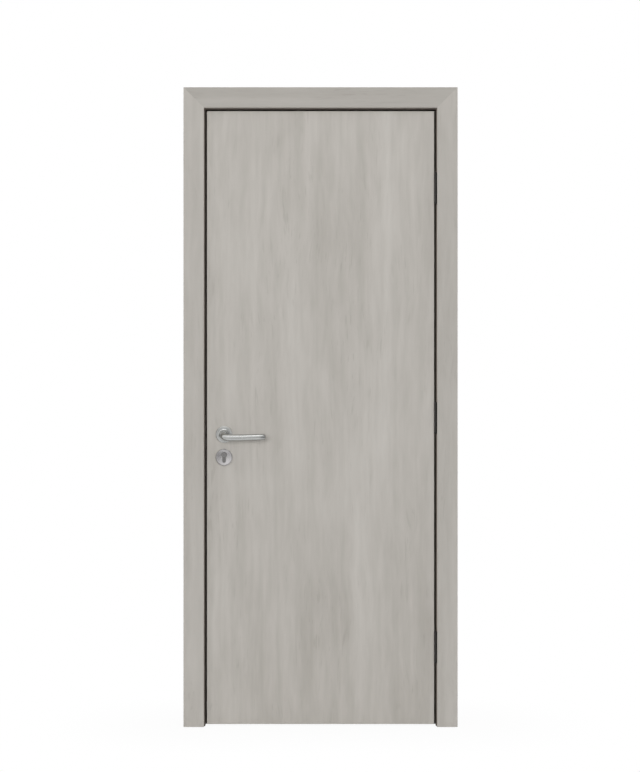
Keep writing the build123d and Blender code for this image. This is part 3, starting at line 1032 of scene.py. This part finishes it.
@dataclass(frozen=True)
class LockSet:
    """Lock, strike plate, cylinder, roses and levers."""

    strike_screw_inset: float = 12 * MM
    faceplate_screw_inset: float = 10 * MM
    screw_sunk: float = 0.1 * MM
    screw: Screw = Screw()
    plug_below_top: float = 8.5 * MM
    plug_face_radius: float = 6.6 * MM
    plug_face_proud: float = 0.5 * MM
    plug_face_sunk: float = 0.1 * MM
    plug_sides: int = 40
    keyway_half: Span = (1.0 * MM, 4.0 * MM)
    # The roses are the bar's satin nickel, set paler than the bar as a painted sheen; the cylinder
    # rose is set darker than the lever rose as painted shade.
    lever_rose: Colour = (0.62, 0.627, 0.615)
    cylinder_rose: Colour = (0.50, 0.488, 0.490)
    rose_roughness: float = 0.26
    rose_lines: Triple = (1900.0, 40.0, 40.0)
    bar: Metal = Metal("Satin nickel bar", (0.43, 0.435, 0.425), roughness=0.20,
                       line_scale=(70.0, 900.0, 900.0), line_depth=0.001 * MM)
    steel: Metal = Metal("Brushed steel", (0.45, 0.445, 0.43), roughness=0.36,
                         line_scale=(1100.0, 1100.0, 30.0))
    # Much darker than the roses' nickel: partly a darker metal, partly painted shade of a recess.
    cylinder: Metal = Metal("Cylinder nickel", (0.22, 0.215, 0.21), roughness=0.34,
                            line_scale=(600.0, 600.0, 90.0))
    screw_steel: Metal = Metal("Screw steel", (0.45, 0.445, 0.43), roughness=0.34,
                               line_scale=(500.0, 500.0, 500.0), mark_size=300.0)
    plug: Metal = Metal("Turned plug", (0.30, 0.295, 0.29), roughness=0.30,
                        line_scale=(2500.0, 40.0, 40.0), mark_size=200.0)

    def dress(self, finishes: Finishes) -> None:
        """Give the metal pieces their finishes.

        Args:
            finishes: the finish maker.
        """
        for side in ("front", "rear"):
            # Each rose gets its own nickel colour: painted sheen, and painted shade on the cylinder
            # rose.
            for piece, colour in (("lever_rose", self.lever_rose),
                                  ("cylinder_rose", self.cylinder_rose)):
                node = f"{piece}_{side}"
                finishes.dress(node, Metal(f"Turned nickel {piece} {side}", colour,
                                           self.rose_roughness, self.rose_lines,
                                           centre=tuple(middle_of(node))))
            finishes.dress(f"lever_{side}", self.bar)
        for node in ("lock_faceplate", "strike_plate", "lock_case", "latch_bolt", "dead_bolt",
                     "lock_follower", "spindle"):
            finishes.dress(node, self.steel)
        finishes.dress("euro_cylinder", self.cylinder)

    def screws(self, finishes: Finishes) -> None:
        """Put the screws in the faceplate and the strike plate.

        Args:
            finishes: the finish maker.
        """
        sets = (
            ("strike_screws", "strike_plate", 1, self.strike_screw_inset, "frame"),
            ("faceplate_screws", "lock_faceplate", -1, self.faceplate_screw_inset, "leaf"),
        )
        middle_y = middle_of("lock_faceplate").y
        for name, node, out, inset, body in sets:
            low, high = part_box(node)
            face_x = high.x if out > 0 else low.x
            shape = bmesh.new()
            for z in (low.z + inset, high.z - inset):
                spot = Vector((face_x - out * self.screw_sunk, middle_y, z))
                self.screw.into(shape, facing_x(spot, out))
            new_piece(name, shape, finishes.add(self.screw_steel), body)

    def plug_faces(self, finishes: Finishes) -> None:
        """Add the turned faces of the plug, with the key's slot through them.

        Args:
            finishes: the finish maker.
        """
        low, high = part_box("euro_cylinder")
        plug_x = (low.x + high.x) / 2
        plug_z = high.z - self.plug_below_top
        turned = replace(self.plug, centre=(plug_x, 0.0, plug_z))
        half_x, half_y = self.keyway_half
        keyway = [(half_x, half_y), (-half_x, half_y), (-half_x, -half_y), (half_x, -half_y)]
        for side, end_y, out in (("front", low.y, -1), ("rear", high.y, 1)):
            shape = bmesh.new()
            place = facing_y(Vector((plug_x, end_y + out * self.plug_face_proud, plug_z)), out)
            rim, slot = pierced_disc(shape, place, self.plug_face_radius, self.plug_sides, keyway)
            depth = self.plug_face_proud + self.plug_face_sunk
            pulled(shape, rim + slot, Vector((0.0, -out * depth, 0.0)))
            new_piece(f"plug_face_{side}", shape, finishes.add(turned), "leaf")


@dataclass(frozen=True)
class SoftBox:
    """A rectangular lamp, with its size in metres and its power in watts."""

    name: str
    place: Triple
    size: Span
    power: float
    mirrored: bool = False

    def build(self, aim: Vector) -> None:
        """Set the lamp up.

        Args:
            aim: the point that it looks at.
        """
        data = bpy.data.lights.new(self.name, "AREA")
        data.shape = "RECTANGLE"
        data.size, data.size_y = self.size
        data.energy = self.power
        lamp = bpy.data.objects.new(self.name, data)
        lamp.location = self.place
        lamp.visible_glossy = self.mirrored
        lamp.rotation_euler = (aim - Vector(self.place)).to_track_quat("-Z", "Y").to_euler()
        bpy.context.scene.collection.objects.link(lamp)


@dataclass(frozen=True)
class Studio:
    """Floor, lights and camera."""

    camera_place: Triple = (-0.4058, -6.065, 1.102)
    lens: float = 86.6
    sensor: float = 36.0
    view_end: float = 60.0
    floor_half_size: float = 14.0
    floor_in_front: float = 0.75
    floor_colour: Colour = (0.78, 0.78, 0.78)
    footprint_inset: float = 13 * MM
    nearest_white: float = 0.95
    white_reach: float = 0.55
    nearest_gloss: float = 0.85
    gloss_reach: float = 1.2
    ambient: float = 0.47
    sky: tuple[Span, ...] = (
        (-1.0, 0.80), (-0.70, 1.20), (-0.48, 1.10), (-0.24, 0.42), (-0.02, 0.85), (0.3, 1.10),
        (0.62, 1.22), (1.0, 1.20))
    sky_sides: Span = (-0.3, 0.8)
    side_levels: Span = (1.15, 0.45)
    backdrop_edge: Span = (-0.15, 0.15)
    aim_height: float = 1.0
    lamps: tuple[SoftBox, ...] = (
        SoftBox("Key", (-1.6, -6.2, 1.75), (2.4, 1.8), 150.0),
        SoftBox("Fill", (1.9, -5.2, 1.0), (2.4, 2.0), 30.0),
        SoftBox("Overhead", (-0.5, -1.5, 3.7), (2.6, 0.7), 10.0, mirrored=True),
        SoftBox("Rear", (0.6, 5.4, 2.0), (2.4, 2.4), 120.0),
        SoftBox("Left", (-5.4, 0.6, 1.8), (2.0, 2.4), 60.0),
        SoftBox("Right", (4.6, 0.6, 1.8), (2.0, 2.4), 60.0),
    )

    def camera(self) -> None:
        """Set the camera level, square to the door, at the photograph's distance."""
        data = bpy.data.cameras.new("Camera")
        data.sensor_fit = "VERTICAL"
        data.sensor_height = self.sensor
        data.lens = self.lens
        data.clip_end = self.view_end
        camera = bpy.data.objects.new("Camera", data)
        camera.location = self.camera_place
        camera.rotation_euler = (QUARTER_TURN, 0.0, 0.0)
        bpy.context.scene.collection.objects.link(camera)
        bpy.context.scene.camera = camera

    def floor(self) -> None:
        """Lay a pale floor that fades to white away from the door."""
        shape = bmesh.new()
        bmesh.ops.create_grid(shape, x_segments=2, y_segments=2, size=self.floor_half_size)
        bmesh.ops.translate(shape, verts=shape.verts,
                            vec=(0.0, self.floor_half_size - self.floor_in_front, 0.0))
        mesh = bpy.data.meshes.new("Floor")
        shape.to_mesh(mesh)
        shape.free()
        floor = bpy.data.objects.new("Floor", mesh)
        bpy.context.scene.collection.objects.link(floor)
        mesh.materials.append(self.floor_material())

    def floor_material(self) -> bpy.types.Material:
        """Build the floor's material.

        Returns:
            The material: matt where light falls on it, white to the camera and in metal.
        """
        made, wiring, place = new_material("Pale floor")
        low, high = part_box(WIDEST_NODE)
        half_width = (high.x - low.x) / 2 - self.footprint_inset
        half_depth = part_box("jamb_hinge")[1].y
        x, y, _ = wiring.split(wiring.stretch(place, shift=(-middle_of(WIDEST_NODE).x, 0.0, 0.0)))
        beside = wiring.larger(wiring.subtract(wiring.unsigned(x), half_width), 0.0)
        before = wiring.larger(wiring.subtract(wiring.unsigned(y), half_depth), 0.0)
        reach = wiring.length(wiring.joined(beside, before, 0.0))
        path = wiring.node("ShaderNodeLightPath").outputs
        seen = wiring.multiply(path["Is Camera Ray"], wiring.ramp(
            reach, 0.0, self.white_reach, self.nearest_white, 1.0))
        mirrored = wiring.multiply(
            wiring.larger(path["Is Glossy Ray"], path["Is Transmission Ray"]),
            wiring.ramp(reach, 0.0, self.gloss_reach, self.nearest_gloss, 1.0))
        matt = wiring.node("ShaderNodeBsdfDiffuse", {"Color": self.floor_colour})
        white = wiring.node("ShaderNodeEmission")
        mixed = wiring.blend_shaders(wiring.larger(seen, mirrored), matt, white)
        wiring.node("ShaderNodeOutputMaterial", {"Surface": mixed.outputs[0]})
        return made

    def world(self) -> None:
        """Light the room evenly, with a backdrop and a ceiling that metal shows too."""
        world = bpy.data.worlds.new("Studio")
        bpy.context.scene.world = world
        world.use_nodes = True
        wiring = Wiring(world.node_tree)
        direction = wiring.node("ShaderNodeTexCoord").outputs["Generated"]
        x, y, z = wiring.split(direction)
        room = wiring.multiply(wiring.ramp(x, *self.sky_sides, *self.side_levels),
                               wiring.profile(z, self.sky))
        path = wiring.node("ShaderNodeLightPath").outputs
        room = wiring.mix(path["Is Glossy Ray"], (self.ambient,) * 3, room)
        mirrored = wiring.multiply(
            wiring.larger(path["Is Glossy Ray"], path["Is Transmission Ray"]),
            wiring.ramp(y, *self.backdrop_edge))
        seen = wiring.larger(path["Is Camera Ray"], mirrored)
        soft = wiring.node("ShaderNodeBackground", {"Color": (1.0, 1.0, 1.0), "Strength": room})
        white = wiring.node("ShaderNodeBackground", {"Color": (1.0, 1.0, 1.0)})
        mixed = wiring.blend_shaders(seen, soft, white)
        wiring.node("ShaderNodeOutputWorld", {"Surface": mixed.outputs[0]})

    def build(self) -> None:
        """Set up the whole studio."""
        self.camera()
        self.floor()
        self.world()
        for lamp in self.lamps:
            lamp.build(Vector((middle_of(WIDEST_NODE).x, 0.0, self.aim_height)))
        bpy.context.scene.view_settings.view_transform = "Standard"


def main() -> None:
    """Build the looks of the door, piece by piece."""
    logging.basicConfig(level=logging.INFO, format="%(message)s")
    Studio().build()
    finishes = Finishes()
    Boards().dress(finishes)
    Seals().dress(finishes)
    hinges = Hinges()
    hinges.dress(finishes)
    hinges.screws(finishes)
    lock_set = LockSet()
    lock_set.dress(finishes)
    lock_set.screws(finishes)
    lock_set.plug_faces(finishes)


if __name__ == "__main__":
    main()
